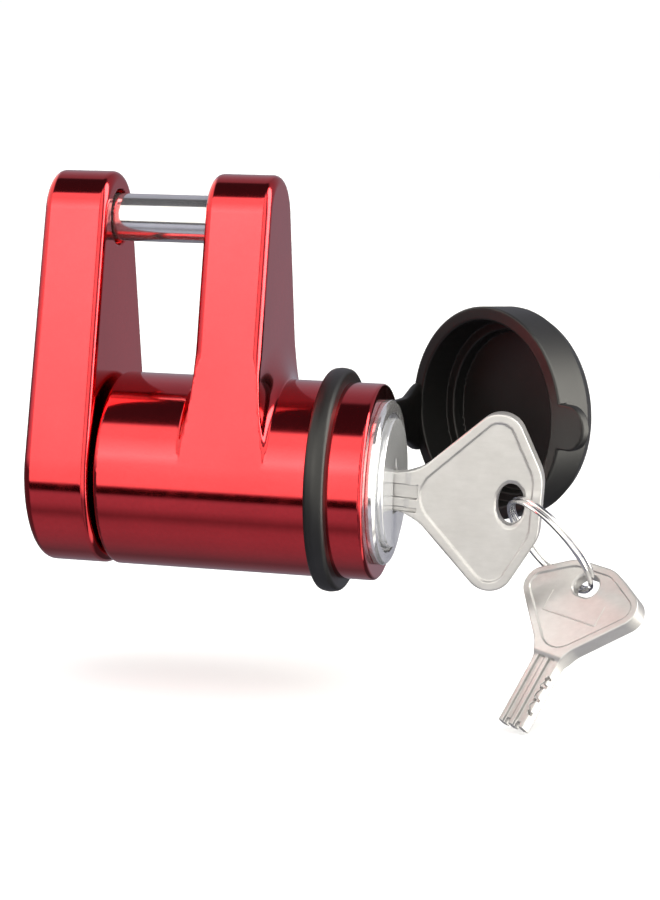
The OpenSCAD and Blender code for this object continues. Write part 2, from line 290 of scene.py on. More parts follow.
def rounded(points, radius, steps=5):
    """Profile with its corners rounded. A point (x, r, 0) keeps its corner sharp."""
    out = []
    n = len(points)
    for i in range(n):
        p = np.array(points[i][:2], float)
        r = points[i][2] if len(points[i]) > 2 else radius
        a = np.array(points[i - 1][:2], float) - p
        b = np.array(points[(i + 1) % n][:2], float) - p
        la, lb = np.linalg.norm(a), np.linalg.norm(b)
        a, b = a / la, b / lb
        turn = math.acos(max(-1, min(1, a @ b)))
        if r <= 0 or turn > math.pi - 0.05:
            out.append(tuple(p))
            continue
        cut = min(r / math.tan(turn / 2), 0.48 * la, 0.48 * lb)
        r = cut * math.tan(turn / 2)
        centre = p + (a + b) / np.linalg.norm(a + b) * (r / math.sin(turn / 2))
        start, end = p + a * cut - centre, p + b * cut - centre
        sweep = math.pi - turn
        side = np.sign(start[0] * end[1] - start[1] * end[0])
        for k in range(steps + 1):
            t = side * sweep * k / steps
            out.append((centre[0] + start[0] * math.cos(t) - start[1] * math.sin(t),
                        centre[1] + start[0] * math.sin(t) + start[1] * math.cos(t)))
    return out


def lathe(name, profile, z=0.0, segments=180):
    """Solid of revolution about the line y = 0, z, from a closed (x, r) profile."""
    points, faces = [], []
    rings = []
    for x, r in profile:
        if r < 1e-6:
            rings.append([len(points)] * segments)
            points.append((x, 0.0, z))
        else:
            rings.append(list(range(len(points), len(points) + segments)))
            for k in range(segments):
                t = math.tau * k / segments
                points.append((x, r * math.sin(t), z + r * math.cos(t)))
    n = len(profile)
    for i in range(n):
        a, b = rings[i], rings[(i + 1) % n]
        if a[0] == a[1] and b[0] == b[1]:
            continue
        for k in range(segments):
            m = (k + 1) % segments
            face = []
            for q in (a[k], a[m], b[m], b[k]):
                if q not in face:
                    face.append(q)
            faces.append(face)
    obj = solid(name, points, faces)
    outward(obj)
    sharpen(obj)
    return obj


def outward(obj):
    bm = bmesh.new()
    bm.from_mesh(obj.data)
    bmesh.ops.recalc_face_normals(bm, faces=bm.faces)
    bm.to_mesh(obj.data)
    bm.free()


def sweep(name, rings, closed=False):
    """Skin over rings of points, with its ends filled unless it is closed."""
    m = len(rings[0])
    points = [p for ring in rings for p in ring]
    faces = []
    last = len(rings) if closed else len(rings) - 1
    for i in range(last):
        a, b = i * m, ((i + 1) % len(rings)) * m
        for k in range(m):
            faces.append([a + k, a + (k + 1) % m, b + (k + 1) % m, b + k])
    if not closed:
        faces.append(list(range(m - 1, -1, -1)))
        faces.append(list(range((len(rings) - 1) * m, len(rings) * m)))
    obj = solid(name, points, faces)
    outward(obj)
    sharpen(obj, 40)
    return obj


def placed(obj, at, turn, scale=1.0):
    """Puts a mesh made about the origin where CAD's translate and rotate put it."""
    rotation = Matrix.Identity(4)
    for axis, angle in zip("XYZ", turn):
        rotation = Matrix.Rotation(math.radians(angle), 4, axis) @ rotation
    normals = None
    if obj.data.has_custom_normals:
        normals = [rotation.to_3x3() @ c.vector for c in obj.data.corner_normals]
    obj.data.transform(Matrix.Translation(Vector(at) * MM) @ rotation @ Matrix.Scale(scale, 4))
    if normals:
        obj.data.normals_split_custom_set(normals)
    return obj


# ---------------------------------------------------------------- materials

class Nodes:
    """Short calls that add nodes to a material or to the world."""

    def __init__(self, owner):
        owner.use_nodes = True
        self.tree = owner.node_tree
        self.tree.nodes.clear()

    def add(self, kind, **values):
        node = self.tree.nodes.new(kind)
        for key, value in values.items():
            setattr(node, key, value)
        return node

    def link(self, a, b):
        self.tree.links.new(a, b)

    def coordinates(self, stretch=(1, 1, 1)):
        where = self.add("ShaderNodeTexCoord")
        mapping = self.add("ShaderNodeMapping")
        mapping.inputs["Scale"].default_value = stretch
        self.link(where.outputs["Object"], mapping.inputs["Vector"])
        return mapping.outputs["Vector"]

    def noise(self, vector, scale, detail=3.0, rough=0.55):
        node = self.add("ShaderNodeTexNoise")
        node.inputs["Scale"].default_value = scale
        node.inputs["Detail"].default_value = detail
        node.inputs["Roughness"].default_value = rough
        self.link(vector, node.inputs["Vector"])
        return node.outputs["Fac"]

    def span(self, value, lo, hi, start=0.3, end=0.7):
        node = self.add("ShaderNodeMapRange")
        node.inputs["From Min"].default_value = start
        node.inputs["From Max"].default_value = end
        node.inputs["To Min"].default_value = lo
        node.inputs["To Max"].default_value = hi
        self.link(value, node.inputs["Value"])
        return node.outputs["Result"]

    def math(self, op, a, b):
        node = self.add("ShaderNodeMath", operation=op)
        for socket, value in zip(node.inputs, (a, b)):
            if isinstance(value, (int, float)):
                socket.default_value = value
            else:
                self.link(value, socket)
        return node.outputs[0]

    def mix(self, factor, a, b):
        node = self.add("ShaderNodeMix", data_type="RGBA")
        self.link(factor, node.inputs["Factor"])
        for name, value in (("A", a), ("B", b)):
            socket = [s for s in node.inputs if s.name == name and s.type == "RGBA"][0]
            if isinstance(value, tuple):
                socket.default_value = (*value, 1)
            else:
                self.link(value, socket)
        return [s for s in node.outputs if s.type == "RGBA"][0]

    def bump(self, height, strength, distance):
        node = self.add("ShaderNodeBump")
        node.inputs["Strength"].default_value = strength
        node.inputs["Distance"].default_value = distance
        self.link(height, node.inputs["Height"])
        return node.outputs["Normal"]


def finish_of(name, dark, light, rough, metallic=1.0, grain=900.0, stretch=(1, 1, 1),
              bump=0.05, depth=0.00002, coat=0.0, wear=None, patch=120.0, spots=0.0,
              specular=0.5, coat_rough=0.03, sheen=0.0):
    """Material with colour patches, roughness that varies, a grain in its bump,
    fine scratches, and colour wear on its convex edges."""
    material = bpy.data.materials.new(name)
    n = Nodes(material)
    shader = n.add("ShaderNodeBsdfPrincipled")
    out = n.add("ShaderNodeOutputMaterial")
    n.link(shader.outputs[0], out.inputs[0])
    plain = n.coordinates()
    along = n.coordinates(stretch)
    patches = n.noise(plain, patch, 4.0)
    fine = n.noise(along, grain, 5.0, 0.65)
    colour = n.mix(n.span(patches, 0, 1), dark, light)
    colour = n.mix(n.span(fine, 0, 0.35), colour, tuple(0.82 * c for c in dark))
    if wear:
        geometry = n.add("ShaderNodeNewGeometry")
        edge = n.span(geometry.outputs["Pointiness"], 0, 1, 0.53, 0.62)
        worn = n.math("MULTIPLY", edge, n.span(fine, 0, 0.5))
        colour = n.mix(worn, colour, wear)
    n.link(colour, shader.inputs["Base Color"])
    lo, hi = rough
    scratch = n.noise(n.coordinates((1, 14, 1)), 700.0, 2.0)
    blend = n.math("ADD", n.math("MULTIPLY", n.span(patches, 0, 1), 0.5),
                   n.math("MULTIPLY", n.span(scratch, 0, 1, 0.45, 0.8), 0.5))
    n.link(n.span(blend, lo, hi, 0, 1), shader.inputs["Roughness"])
    height = fine
    if spots:
        cells = n.add("ShaderNodeTexVoronoi")
        cells.inputs["Scale"].default_value = spots
        n.link(plain, cells.inputs["Vector"])
        height = n.math("ADD", fine, cells.outputs["Distance"])
    n.link(n.bump(height, bump, depth), shader.inputs["Normal"])
    shader.inputs["Metallic"].default_value = metallic
    shader.inputs["Specular IOR Level"].default_value = specular
    shader.inputs["Coat Weight"].default_value = coat
    shader.inputs["Coat Roughness"].default_value = coat_rough
    shader.inputs["Sheen Weight"].default_value = sheen
    shader.inputs["Sheen Roughness"].default_value = 0.4
    return material


RED = finish_of("candy_red", (0.62, 0.028, 0.036), (0.76, 0.038, 0.047), (0.09, 0.17),
                grain=1500.0, bump=0.02, depth=0.00001, coat=0.5, patch=60.0,
                wear=(0.86, 0.20, 0.17))
FLANGE = finish_of("flange_chrome", (0.80, 0.80, 0.82), (0.93, 0.93, 0.94), (0.06, 0.16),
                   grain=700.0, bump=0.25, depth=0.00004, spots=900.0, patch=300.0,
                   metallic=0.85)
PLUG = finish_of("plug_chrome", (0.80, 0.81, 0.83), (0.95, 0.96, 0.98), (0.18, 0.22),
                 grain=900.0, bump=0.02, patch=200.0, metallic=0.7)
PIN = finish_of("pin_chrome", (0.78, 0.78, 0.79), (0.90, 0.90, 0.90), (0.10, 0.16),
                grain=1400.0, stretch=(0.06, 1, 1), bump=0.05, patch=200.0, metallic=0.95)
STEEL = finish_of("turned_steel", (0.42, 0.42, 0.43), (0.58, 0.58, 0.59), (0.24, 0.4),
                  grain=1600.0, stretch=(1, 0.08, 0.08), bump=0.12, patch=250.0)
SPRING = finish_of("spring_steel", (0.20, 0.20, 0.22), (0.36, 0.36, 0.38), (0.25, 0.45),
                   grain=2000.0, bump=0.1, patch=400.0)
BRASS = finish_of("stamped_brass", (0.62, 0.42, 0.16), (0.80, 0.60, 0.30), (0.25, 0.42),
                  grain=1800.0, bump=0.12, patch=500.0)
RUBBER = finish_of("black_rubber", (0.003, 0.003, 0.003), (0.006, 0.006, 0.006), (0.40, 0.50),
                   metallic=0.0, grain=1900.0, bump=0.18, depth=0.00003, patch=90.0,
                   specular=0.55, wear=(0.02, 0.02, 0.02))
NICKEL = finish_of("key_nickel", (0.53, 0.52, 0.515), (0.61, 0.60, 0.595), (0.38, 0.50),
                   grain=1500.0, stretch=(0.3, 1, 1), bump=0.16, depth=0.00003, patch=260.0,
                   metallic=0.8, wear=(0.78, 0.76, 0.73))
WIRE = finish_of("ring_wire", (0.74, 0.74, 0.75), (0.88, 0.88, 0.88), (0.08, 0.2),
                 grain=1800.0, bump=0.08, patch=500.0)

# Parts that keep their CAD shape
NODE_LOOKS = {
    "housing_pin": SPRING, "arm_roll_pins": SPRING, "plug_clip": SPRING,
    "wafer_springs": SPRING, "bolt_guides": STEEL, "locking_bolt": STEEL,
    "cam": STEEL, "wafers": BRASS, "spindle_seal": RUBBER,
}


def dress(obj, material):
    obj.data.materials.clear()
    obj.data.materials.append(material)


def piece(obj, material, body, slot, *nodes):
    """Gives a piece its material and body, and hides the nodes it replaces. Its slot is not used.
    """
    dress(obj, material)
    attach(obj, body)
    if nodes:
        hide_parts(*nodes)
    return obj


for node_name, look in NODE_LOOKS.items():
    dress(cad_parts[node_name], look)


# ---------------------------------------------------------------- red body

# Rounding of the arms' long edges, of the lug's edges at its foot and of the
# barrel's ends; height and spread of the flare where the lug meets the barrel
EDGE, FOOT_EDGE, BARREL_EDGE = 1.15, 0.35, 0.55
FLARE_H, FLARE_W = 5.0, 1.75


def radial(y, z):
    return np.hypot(y, z + REACH)


def body_field(x, y, z):
    rad = radial(y, z)
    barrel = round_cut(rad - BARREL_R, between(x, BARREL_X0, FACE_X), BARREL_EDGE)
    slab = between(x, LUG_X0, LUG_X1)
    above = rad - BARREL_R
    steep = 1 + (FLARE_H / FLARE_W - 1) * (1 - smooth(3.8, 6.5, above))
    foot = round_union(slab * steep, above, FLARE_H)
    edge = FOOT_EDGE + (EDGE - FOOT_EDGE) * smooth(2.0, 7.0, above)
    lug = round_cut(foot, teardrop(y, z), edge)
    lug = np.maximum(lug, slab - FLARE_W - 0.3)
    d = np.minimum(barrel, lug)
    d = round_cut(d, -np.maximum(rad - CORE_R, CORE_X0 - x), 0.2)
    d = round_cut(d, -(rad - SPINDLE_R - 0.05), 0.3)
    off = np.hypot(y, z)
    nose = np.maximum(off - NOSE_R - 0.08, between(x, LUG_X0 - 2, LUG_X0 + NOSE_L + 0.8))
    sink = np.maximum(off - PIN_R - 0.3, between(x, LUG_X0 - 2, LUG_X0 + 0.5))
    return round_cut(d, -np.minimum(nose, sink), 0.2)


body = field_mesh("lock_body_shell", body_field, (BARREL_X0 - 0.7, -13.6, -REACH - 13.6),
                  (FACE_X + 0.6, 13.7, TOP_R + 0.7), 0.32)
piece(body, RED, "body", "red_body", "lock_body")

# The end arm is thinner at the top; its cross pins stand at ROLL_X
ARM_DRAFT = 0.4
ROLL_X, ROLL_R = ARM_X1 - 3.6, 1.03


def arm_field(x, y, z):
    outside = ARM_X0 + ARM_DRAFT * np.clip((z + REACH) / REACH, 0, 1.2)
    d = round_cut(teardrop(y, z), between(x, outside, ARM_X1), EDGE)
    off = np.hypot(y, z)
    mouth = np.maximum(off - 3.7, ARM_X1 - 1.5 - x)
    bore = np.maximum(off - 3.25, ARM_X1 - 2.4 - x)
    d = round_cut(d, -np.minimum(mouth, bore), 0.15)
    back_pin = np.maximum(np.hypot(x - ROLL_X, z) - ROLL_R, 4.6 - y)
    under_pin = np.maximum(np.hypot(x - ROLL_X, y) - ROLL_R, z + REACH + BARREL_R - 0.9)
    return round_cut(d, -np.minimum(back_pin, under_pin), 0.15)


arm = field_mesh("end_arm_shell", arm_field, (ARM_X0 - 0.7, -13.6, -REACH - 13.6),
                 (ARM_X1 + 0.6, 13.7, TOP_R + 0.7), 0.3)
piece(arm, RED, "arm", "red_arm", "end_arm")

# ---------------------------------------------------------------- turned parts

PRESS_X = ARM_X1 - PRESS_L
SHOULDER_X = ARM_X1 - 2.2
pin_profile = rounded(
    [(PRESS_X, 0, 0), (PRESS_X, PRESS_R), (SHOULDER_X, PRESS_R), (SHOULDER_X, PIN_R),
     (LUG_X0 - 0.02, PIN_R), (LUG_X0 - 0.02, NOSE_R), (LUG_X0 + NOSE_L - 0.7, NOSE_R),
     (LUG_X0 + NOSE_L, NOSE_R - 0.6), (LUG_X0 + NOSE_L, 0, 0)], 0.12)
piece(lathe("shackle_pin_bar", pin_profile), PIN, "arm", "chrome_pin", "shackle_pin")

NECK_R, NECK_X0, NECK_X1 = 2.1, CORE_X0, CORE_X0 + 2.8
HEAD_X = NECK_X1 + 1.8
GROOVE_R, GROOVE_X0, GROOVE_X1 = 2.5, BARREL_X0 + 3, BARREL_X0 + 4.2
spindle_profile = rounded(
    [(PRESS_X, 0, 0), (PRESS_X, PRESS_R), (ARM_X1, PRESS_R), (ARM_X1, SPINDLE_R),
     (GROOVE_X0, SPINDLE_R), (GROOVE_X0, GROOVE_R), (GROOVE_X1, GROOVE_R),
     (GROOVE_X1, SPINDLE_R), (NECK_X0, SPINDLE_R), (NECK_X0, NECK_R), (NECK_X1, NECK_R),
     (NECK_X1, SPINDLE_R), (HEAD_X - 0.8, SPINDLE_R), (HEAD_X, SPINDLE_R - 0.8),
     (HEAD_X, 0, 0)], 0.12)
piece(lathe("spindle_bar", spindle_profile, -REACH), STEEL, "arm", "inner_steel", "spindle")

HOUSING_X0, HOUSING_R, HOUSING_BORE = 17.2, CORE_R - 0.03, PLUG_R + 0.05
RECESS_R = 9.25
FLANGE_BEVEL = 0.35
housing_profile = rounded(
    [(HOUSING_X0, HOUSING_BORE), (HOUSING_X0, HOUSING_R), (FACE_X, HOUSING_R, 0),
     (FACE_X, FLANGE_R, 0.1), (FLANGE_X - FLANGE_BEVEL, FLANGE_R, 0.15),
     (FLANGE_X, FLANGE_R - FLANGE_BEVEL, 0.15), (FLANGE_X, RECESS_R + 0.15, 0.08),
     (FLANGE_X - 0.15, RECESS_R, 0.08), (RECESS_X, RECESS_R, 0.1), (RECESS_X, HOUSING_BORE)],
    0.12, 4)
piece(lathe("cylinder_housing_turned", housing_profile, -REACH, 220), FLANGE, "body",
      "chrome_lock", "cylinder_housing")

RING_BORE, RING_SHOULDER = BARREL_R - 0.02, RUBBER_R - 0.25
ring_profile = rounded(
    [(RING_X0, RING_BORE, 0), (RING_X0, RING_SHOULDER, 0.7),
     ((RING_X0 + RING_X1) / 2, RUBBER_R, 2.0), (RING_X1, RING_SHOULDER, 0.7),
     (RING_X1, RING_BORE, 0)], 0.6, 8)
piece(lathe("cap_ring_band", ring_profile, -REACH, 220), RUBBER, "body", "black_rubber",
      "cap_ring")

# Keyway: where it ends in X, then its top, bottom and half width from the
# plug's axis; its top narrows to a point
KEYWAY_X0, KEYWAY_TOP, KEYWAY_BOTTOM, KEYWAY_HALF = 19.9, 3.35, -3.9, 1.4
PLUG_X0 = 15.2


def plug_field(x, y, z):
    rad = radial(y, z)
    height = z + REACH
    face = round_cut(rad - PLUG_FACE_R, between(x, FACE_X - 0.6, PLUG_X1), 0.22)
    core = np.maximum(rad - PLUG_R, between(x, PLUG_X0, FACE_X - 0.5))
    half = np.minimum(KEYWAY_HALF, np.maximum((KEYWAY_TOP - height) * 0.62, -1))
    slot = np.maximum(np.maximum(np.abs(y) - half, KEYWAY_BOTTOM - height), KEYWAY_X0 - x)
    return round_cut(np.minimum(face, core), -slot, 0.14)


plug = field_mesh("plug_turned", plug_field, (15.0, -8.9, -REACH - 8.9),
                  (PLUG_X1 + 0.3, 8.9, -REACH + 8.9), 0.17, 0.04)
piece(plug, PLUG, "plug", "plug_face", "plug")

# ---------------------------------------------------------------- dust cap

# Half section (radius, height) of the cap, opening upwards, with round corners
CAP_CORNER = 0.28
CAP_SIDE = inset([(0, -8.6), (10.6, -8.6), (12.7, -8.1), (14.0, -7.1), (14.8, -5.6),
                  (15.0, 0), (13.1, 0), (12.95, -4.75), (11.5, -4.75), (11.4, -6.6),
                  (0, -6.6)], CAP_CORNER)
# It goes on past the axis, so that its closing edge leaves no surface there
CAP_SIDE[0] = (-3, CAP_SIDE[0][1])
CAP_SIDE[-1] = (-3, CAP_SIDE[-1][1])
TAB_Y, TAB_R, TAB_T, TAB_ROOT = 16.2, 3.1, 1.35, 13.6


def cap_field(x, y, z):
    rad = np.hypot(x, y)
    shell = polygon_field(rad, z, CAP_SIDE) - CAP_CORNER
    tongue = np.where(y > TAB_Y, np.hypot(x, y - TAB_Y) - TAB_R, np.abs(x) - TAB_R)
    tongue = np.maximum(tongue, TAB_ROOT - y)
    rim = np.maximum(rad - 14.2, 13.3 - rad)
    tab = round_cut(round_union(tongue, rim, 0.9), between(z, -TAB_T, 0.0), 0.25)
    return np.minimum(shell, np.maximum(tab, TAB_ROOT - rad))


cap = field_mesh("dust_cap_moulded", cap_field, (-15.6, -15.6, -9.2), (15.6, 19.9, 0.5),
                 0.26, 0.08)
placed(cap, CAP_C, CAP_TURN)
piece(cap, RUBBER, "cap", "black_rubber", "dust_cap")

# Strap: a rounded band that runs from the ring, over the hinge, into the cap's
# rim. Its middle's Z, half its height, half its thickness and its path in plan;
# it is thinnest WEB_AT along the path, and both ends grow taller.
STRAP_Z, STRAP_H, STRAP_T = -28.7, 3.2, 0.85
WEB_AT, WEB_L, END_GROWS, ROOT_GROWS = 6.9, 0.9, 1.7, 1.2
STRAP_PATH = [(23.6, 13.55), (24.65, 14.2), (25.5, 14.95), (26.3, 15.7), (27.05, 17.2),
              (27.65, 19.0), (28.15, 21.2), (28.65, 23.4), (29.2, 25.6), (29.6, 27.0)]


def curve_through(points, steps):
    """Catmull-Rom points along a path."""
    p = [np.array(q, float) for q in points]
    p = [2 * p[0] - p[1]] + p + [2 * p[-1] - p[-2]]
    out = []
    for i in range(1, len(p) - 2):
        for k in range(steps):
            t = k / steps
            out.append(0.5 * (2 * p[i] + (p[i + 1] - p[i - 1]) * t
                              + (2 * p[i - 1] - 5 * p[i] + 4 * p[i + 1] - p[i + 2]) * t * t
                              + (3 * p[i] - p[i - 1] - 3 * p[i + 1] + p[i + 2]) * t ** 3))
    out.append(p[-2])
    return out


def strap():
    path = curve_through(STRAP_PATH, 6)
    length = np.cumsum([0] + [np.linalg.norm(b - a) for a, b in zip(path, path[1:])])
    rings = []
    for i, q in enumerate(path):
        a, b = path[max(i - 1, 0)], path[min(i + 1, len(path) - 1)]
        d = (b - a) / np.linalg.norm(b - a)
        side = np.array([d[1], -d[0]])
        at_end = END_GROWS * (1 - smooth(0, 5.0, length[-1] - length[i]))
        at_root = ROOT_GROWS * (1 - smooth(0, 2.5, length[i]))
        tall = STRAP_H + at_end + at_root
        thick = STRAP_T * (1 - 0.3 * math.exp(-((length[i] - WEB_AT) / WEB_L) ** 2))
        ring = []
        for k in range(28):
            t = math.tau * k / 28
            c, s = math.cos(t), math.sin(t)
            u = thick * math.copysign(abs(c) ** 0.6, c)
            w = tall * math.copysign(abs(s) ** 0.25, s)
            ring.append((q[0] + side[0] * u, q[1] + side[1] * u, STRAP_Z + w))
        rings.append(ring)
    return sweep("cap_strap_band", rings)


band = strap()
dress(band, RUBBER)
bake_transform(band)
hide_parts("cap_strap")

# ---------------------------------------------------------------- keys

# In a key's plane u runs towards the bow, v across and w through its thickness.
# The bow's outline is a belt round five disks, and the sunk panel's line
# keeps a rim inside it.
RIM = 1.25
CORNER, BACK = (11.55, 8.48, 3.34), (11.73, 2.64, 5.96)


def bow_line(neck, rim):
    """Outline round the neck's disk and four disks at the back, less a rim."""
    disks = [neck]
    for (u, v, r), side in ((CORNER, -1), (BACK, -1), (BACK, 1), (CORNER, 1)):
        disks.append((u, side * v, r - rim))
    return belt(disks)


BOW_LINE = bow_line((1.71, 0, 2.6), 0)
PANEL_LINE = bow_line((5.6, 0, 3.89), RIM)
BLADE_L, BLADE_HALF_H, BLADE_HALF_T, BOW_HALF_T = 13.0, 2.6, 1.1, 1.5
PANEL_DEEP = 0.3

# Face with the two wide grooves: their lines, half width and floor, then half
# width and length of the gaps cut right through at the tip, and the cut track
GROOVES, GROOVE_HALF, GROOVE_FLOOR = (1.1, -1.1), 0.62, 0.62
GAP_HALF, GAP_L = 0.45, 1.0
TRACK_HALF, TRACK_FLOOR = 0.26, 0.4
TRACK = [(-3.6, -2.3), (-4.9, -1.5), (-5.0, -2.4), (-6.3, -1.6), (-7.0, -1.5), (-7.6, -2.3),
         (-8.6, -1.5), (-10.2, -2.35)]

# Other face: each shallow groove's line and half width, and their common floor
SHALLOWS, SHALLOW_FLOOR, SHALLOW_END = ((0.22, 0.88), (-2.2, 0.25)), 0.86, 1.3


def near_path(u, v, path):
    """Distance in the plane to a path."""
    best = np.full(np.shape(u), 1e9)
    for (ax, ay), (bx, by) in zip(path, path[1:]):
        ex, ey = bx - ax, by - ay
        t = np.clip(((u - ax) * ex + (v - ay) * ey) / (ex * ex + ey * ey), 0, 1)
        best = np.minimum(best, np.hypot(u - ax - ex * t, v - ay - ey * t))
    return best


def key_field(cut_side):
    """A key lying in its own plane. cut_side is 1 if the face with the two wide
    grooves and the cut track looks along +w, and -1 if it looks along -w. The
    key with -1 has an oval hole and the other one a rounder hole."""
    def field(u, v, w):
        bow = polygon_field(u, v, BOW_LINE)
        blade = np.maximum(np.abs(v) - BLADE_HALF_H, between(u, -BLADE_L, 2.0))
        flat = round_union(bow, blade, 1.7)
        deep = PANEL_DEEP * (1 - smooth(-0.12, 0.12, polygon_field(u, v, PANEL_LINE)))
        half = BLADE_HALF_T + (BOW_HALF_T - BLADE_HALF_T) * smooth(-0.6, 0.5, u) - deep
        d = round_cut(flat, np.abs(w) - half, 0.22)
        if cut_side < 0:
            hole = (np.hypot((u - HOLE_U) / HOLE_R, v / (HOLE_R + HOLE_HALF)) - 1) * HOLE_R
        else:
            hole = np.hypot(u - HOLE_U, np.maximum(np.abs(v) - 0.5, 0)) - HOLE_R - 0.1
        d = np.maximum(d, -hole)
        d = np.maximum(d, (np.abs(w) - half - hole + 0.32) / 1.4)
        wide, thin = cut_side * w, -cut_side * w
        for v0 in GROOVES:
            slot = np.maximum(np.abs(v - v0) - GROOVE_HALF, u + 0.25)
            d = round_cut(d, -np.maximum(slot, GROOVE_FLOOR - wide), 0.06)
            gap = np.maximum(np.abs(v - v0) - GAP_HALF, u + BLADE_L - GAP_L)
            d = round_cut(d, -gap, 0.12)
        for v0, shallow_half in SHALLOWS:
            line = np.maximum(np.abs(v - v0) - shallow_half, u - SHALLOW_END)
            d = round_cut(d, -np.maximum(line, SHALLOW_FLOOR - thin), 0.06)
        track = near_path(u, v, TRACK) - TRACK_HALF
        return round_cut(d, -np.maximum(track, TRACK_FLOOR - wide), 0.05)
    return field


def make_key(name, cut_side, at, turn, scale, shift):
    obj = field_mesh(name, key_field(cut_side), (-13.5, -12.2, -1.9), (18.3, 12.2, 1.9),
                     0.19, 0.05)
    obj.data.transform(Matrix.Translation(Vector((shift, 0, 0)) * MM))
    return placed(obj, at, turn, scale)


key_1 = make_key("key_1_cut", -1, KEY_AT, KEY_TURN, 1.0, 0)
piece(key_1, NICKEL, "key", "key_nickel", "key_1")
key_2 = make_key("key_2_cut", 1, KEY_2_AT, KEY_2_TURN, KEY_2_SCALE, -HOLE_U)
piece(key_2, NICKEL, "spare_key", "key_nickel", "key_2")


def raised_line(path, half=0.13, height=0.1, base=1.19):
    """Thin raised line on a key's panel, half round in section."""
    rings = []
    p = [np.array(q, float) for q in path]
    for i, q in enumerate(p):
        a, b = p[max(i - 1, 0)], p[min(i + 1, len(p) - 1)]
        d = (b - a) / np.linalg.norm(b - a)
        side = np.array([-d[1], d[0]])
        ring = []
        for k in range(9):
            t = math.pi * k / 8
            off = side * half * math.cos(t)
            ring.append((q[0] + off[0], q[1] + off[1], base + height * math.sin(t)))
        rings.append(ring)
    return rings


def panel_mark():
    """Three raised lines, the open frame on the loose key's panel."""
    near, middle, far, side = 7.4, 9.3, 11.2, 5.6
    parts = []
    for path in ([(near, -side), (near, 0), (near, side)],
                 [(near, side), (middle, side), (far, side)],
                 [(near, -side), (middle, -side), (far, -side)]):
        parts.append(sweep("panel_mark", raised_line(path)))
    for other in parts[1:]:
        bm = bmesh.new()
        bm.from_mesh(parts[0].data)
        bm.from_mesh(other.data)
        bm.to_mesh(parts[0].data)
        bm.free()
        bpy.data.objects.remove(other)
    parts[0].data.transform(Matrix.Translation(Vector((-HOLE_U, 0, 0)) * MM))
    return placed(parts[0], KEY_2_AT, KEY_2_TURN, KEY_2_SCALE)


piece(panel_mark(), NICKEL, "spare_key", "key_nickel")


def split_ring():
    """Two turns of wire side by side, stepping across over a short arc."""
    u = RING_AXIS.orthogonal().normalized()
    w = RING_AXIS.cross(u)
    rings = []
    turns, steps = 1.96, 300
    for i in range(steps + 1):
        t = math.tau * turns * i / steps
        across = WIRE_R * 0.94 * (2 * float(smooth(0.44, 0.53, i / steps)) - 1)
        out = u * math.cos(t) + w * math.sin(t)
        centre = RING_C + out * WIRE_RING_R + RING_AXIS * across
        taper = min(1.0, 0.55 + 0.45 * min(i, steps - i) / 3)
        rings.append([tuple(centre + (out * math.cos(a) + RING_AXIS * math.sin(a))
                            * WIRE_R * taper)
                      for a in (math.tau * k / 14 for k in range(14))])
    return sweep("key_ring_wire", rings)


piece(split_ring(), WIRE, "ring", "ring_steel", "key_ring")

# ---------------------------------------------------------------- stage

AZIMUTH, ELEVATION, ROLL = map(math.radians, (12.972, 8.869, 1.155))
DISTANCE = 280.0
AIM = Vector((22.586, 1.088, -30.243))

back = Vector((math.sin(AZIMUTH) * math.cos(ELEVATION),
               -math.cos(AZIMUTH) * math.cos(ELEVATION), math.sin(ELEVATION)))
right = Vector((math.cos(AZIMUTH), math.sin(AZIMUTH), 0))
up = back.cross(right)
right, up = (right * math.cos(ROLL) + up * math.sin(ROLL),
             up * math.cos(ROLL) - right * math.sin(ROLL))
lens = bpy.data.cameras.new("camera")
lens.lens, lens.sensor_width = 83.63, 36.0
lens.clip_start, lens.clip_end = 0.01, 50.0
camera = bpy.data.objects.new("camera", lens)
camera.matrix_world = Matrix.Translation((AIM + back * DISTANCE) * MM) @ Matrix(
    (right, up, back)).transposed().to_4x4()
scene.collection.objects.link(camera)
scene.camera = camera

visual_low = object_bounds()[0].z


def floor():
    size, depth = 3.0, 0.02
    ring = [(size * math.cos(t), size * math.sin(t)) for t in
            (math.tau * k / 64 for k in range(64))]
    mesh = bpy.data.meshes.new("floor")
    top = visual_low - 0.0002
    mesh.from_pydata([(x, y, top) for x, y in ring] + [(x, y, top - depth) for x, y in ring], [],
                     [list(range(64)), list(range(127, 63, -1))]
                     + [[k, k + 64, (k + 1) % 64 + 64, (k + 1) % 64] for k in range(64)])
    obj = bpy.data.objects.new("floor", mesh)
    scene.collection.objects.link(obj)
    material = bpy.data.materials.new("floor_paper")
    n = Nodes(material)
    shader = n.add("ShaderNodeBsdfPrincipled")
    out = n.add("ShaderNodeOutputMaterial")
    n.link(shader.outputs[0], out.inputs[0])
    fibres = n.noise(n.coordinates(), 900.0, 4.0)
    n.link(n.mix(n.span(fibres, 0, 1), (0.93, 0.93, 0.93), (0.96, 0.96, 0.96)),
           shader.inputs["Base Color"])
    shader.inputs["Roughness"].default_value = 0.95
    shader.inputs["Specular IOR Level"].default_value = 0.1
    shader.inputs["Emission Color"].default_value = (1, 1, 1, 1)
    shader.inputs["Emission Strength"].default_value = 0.22
    mesh.materials.append(material)
    obj.visible_glossy = False


floor()

# Brightness of the studio round the X axis, as (degrees up from the front, level):
# a large softbox in front, a gap under it, a dimmer table below, a dark ceiling
# and dim walls behind.
STUDIO = [(-180, 0.34), (-150, 0.24), (-118, 0.16), (-95, 0.34), (-72, 0.44), (-60, 0.42),
          (-50, 0.22), (-38, 0.50), (-27, 0.56), (-24.5, 0.40), (-22.5, 0.01), (-14.5, 0.01),
          (-12.5, 1.9), (0, 2.0), (14, 2.4), (24, 3.9), (34, 2.9), (46, 1.9), (60, 1.9),
          (63.5, 0.06), (108, 0.05), (113, 0.34), (140, 0.42), (180, 0.34)]


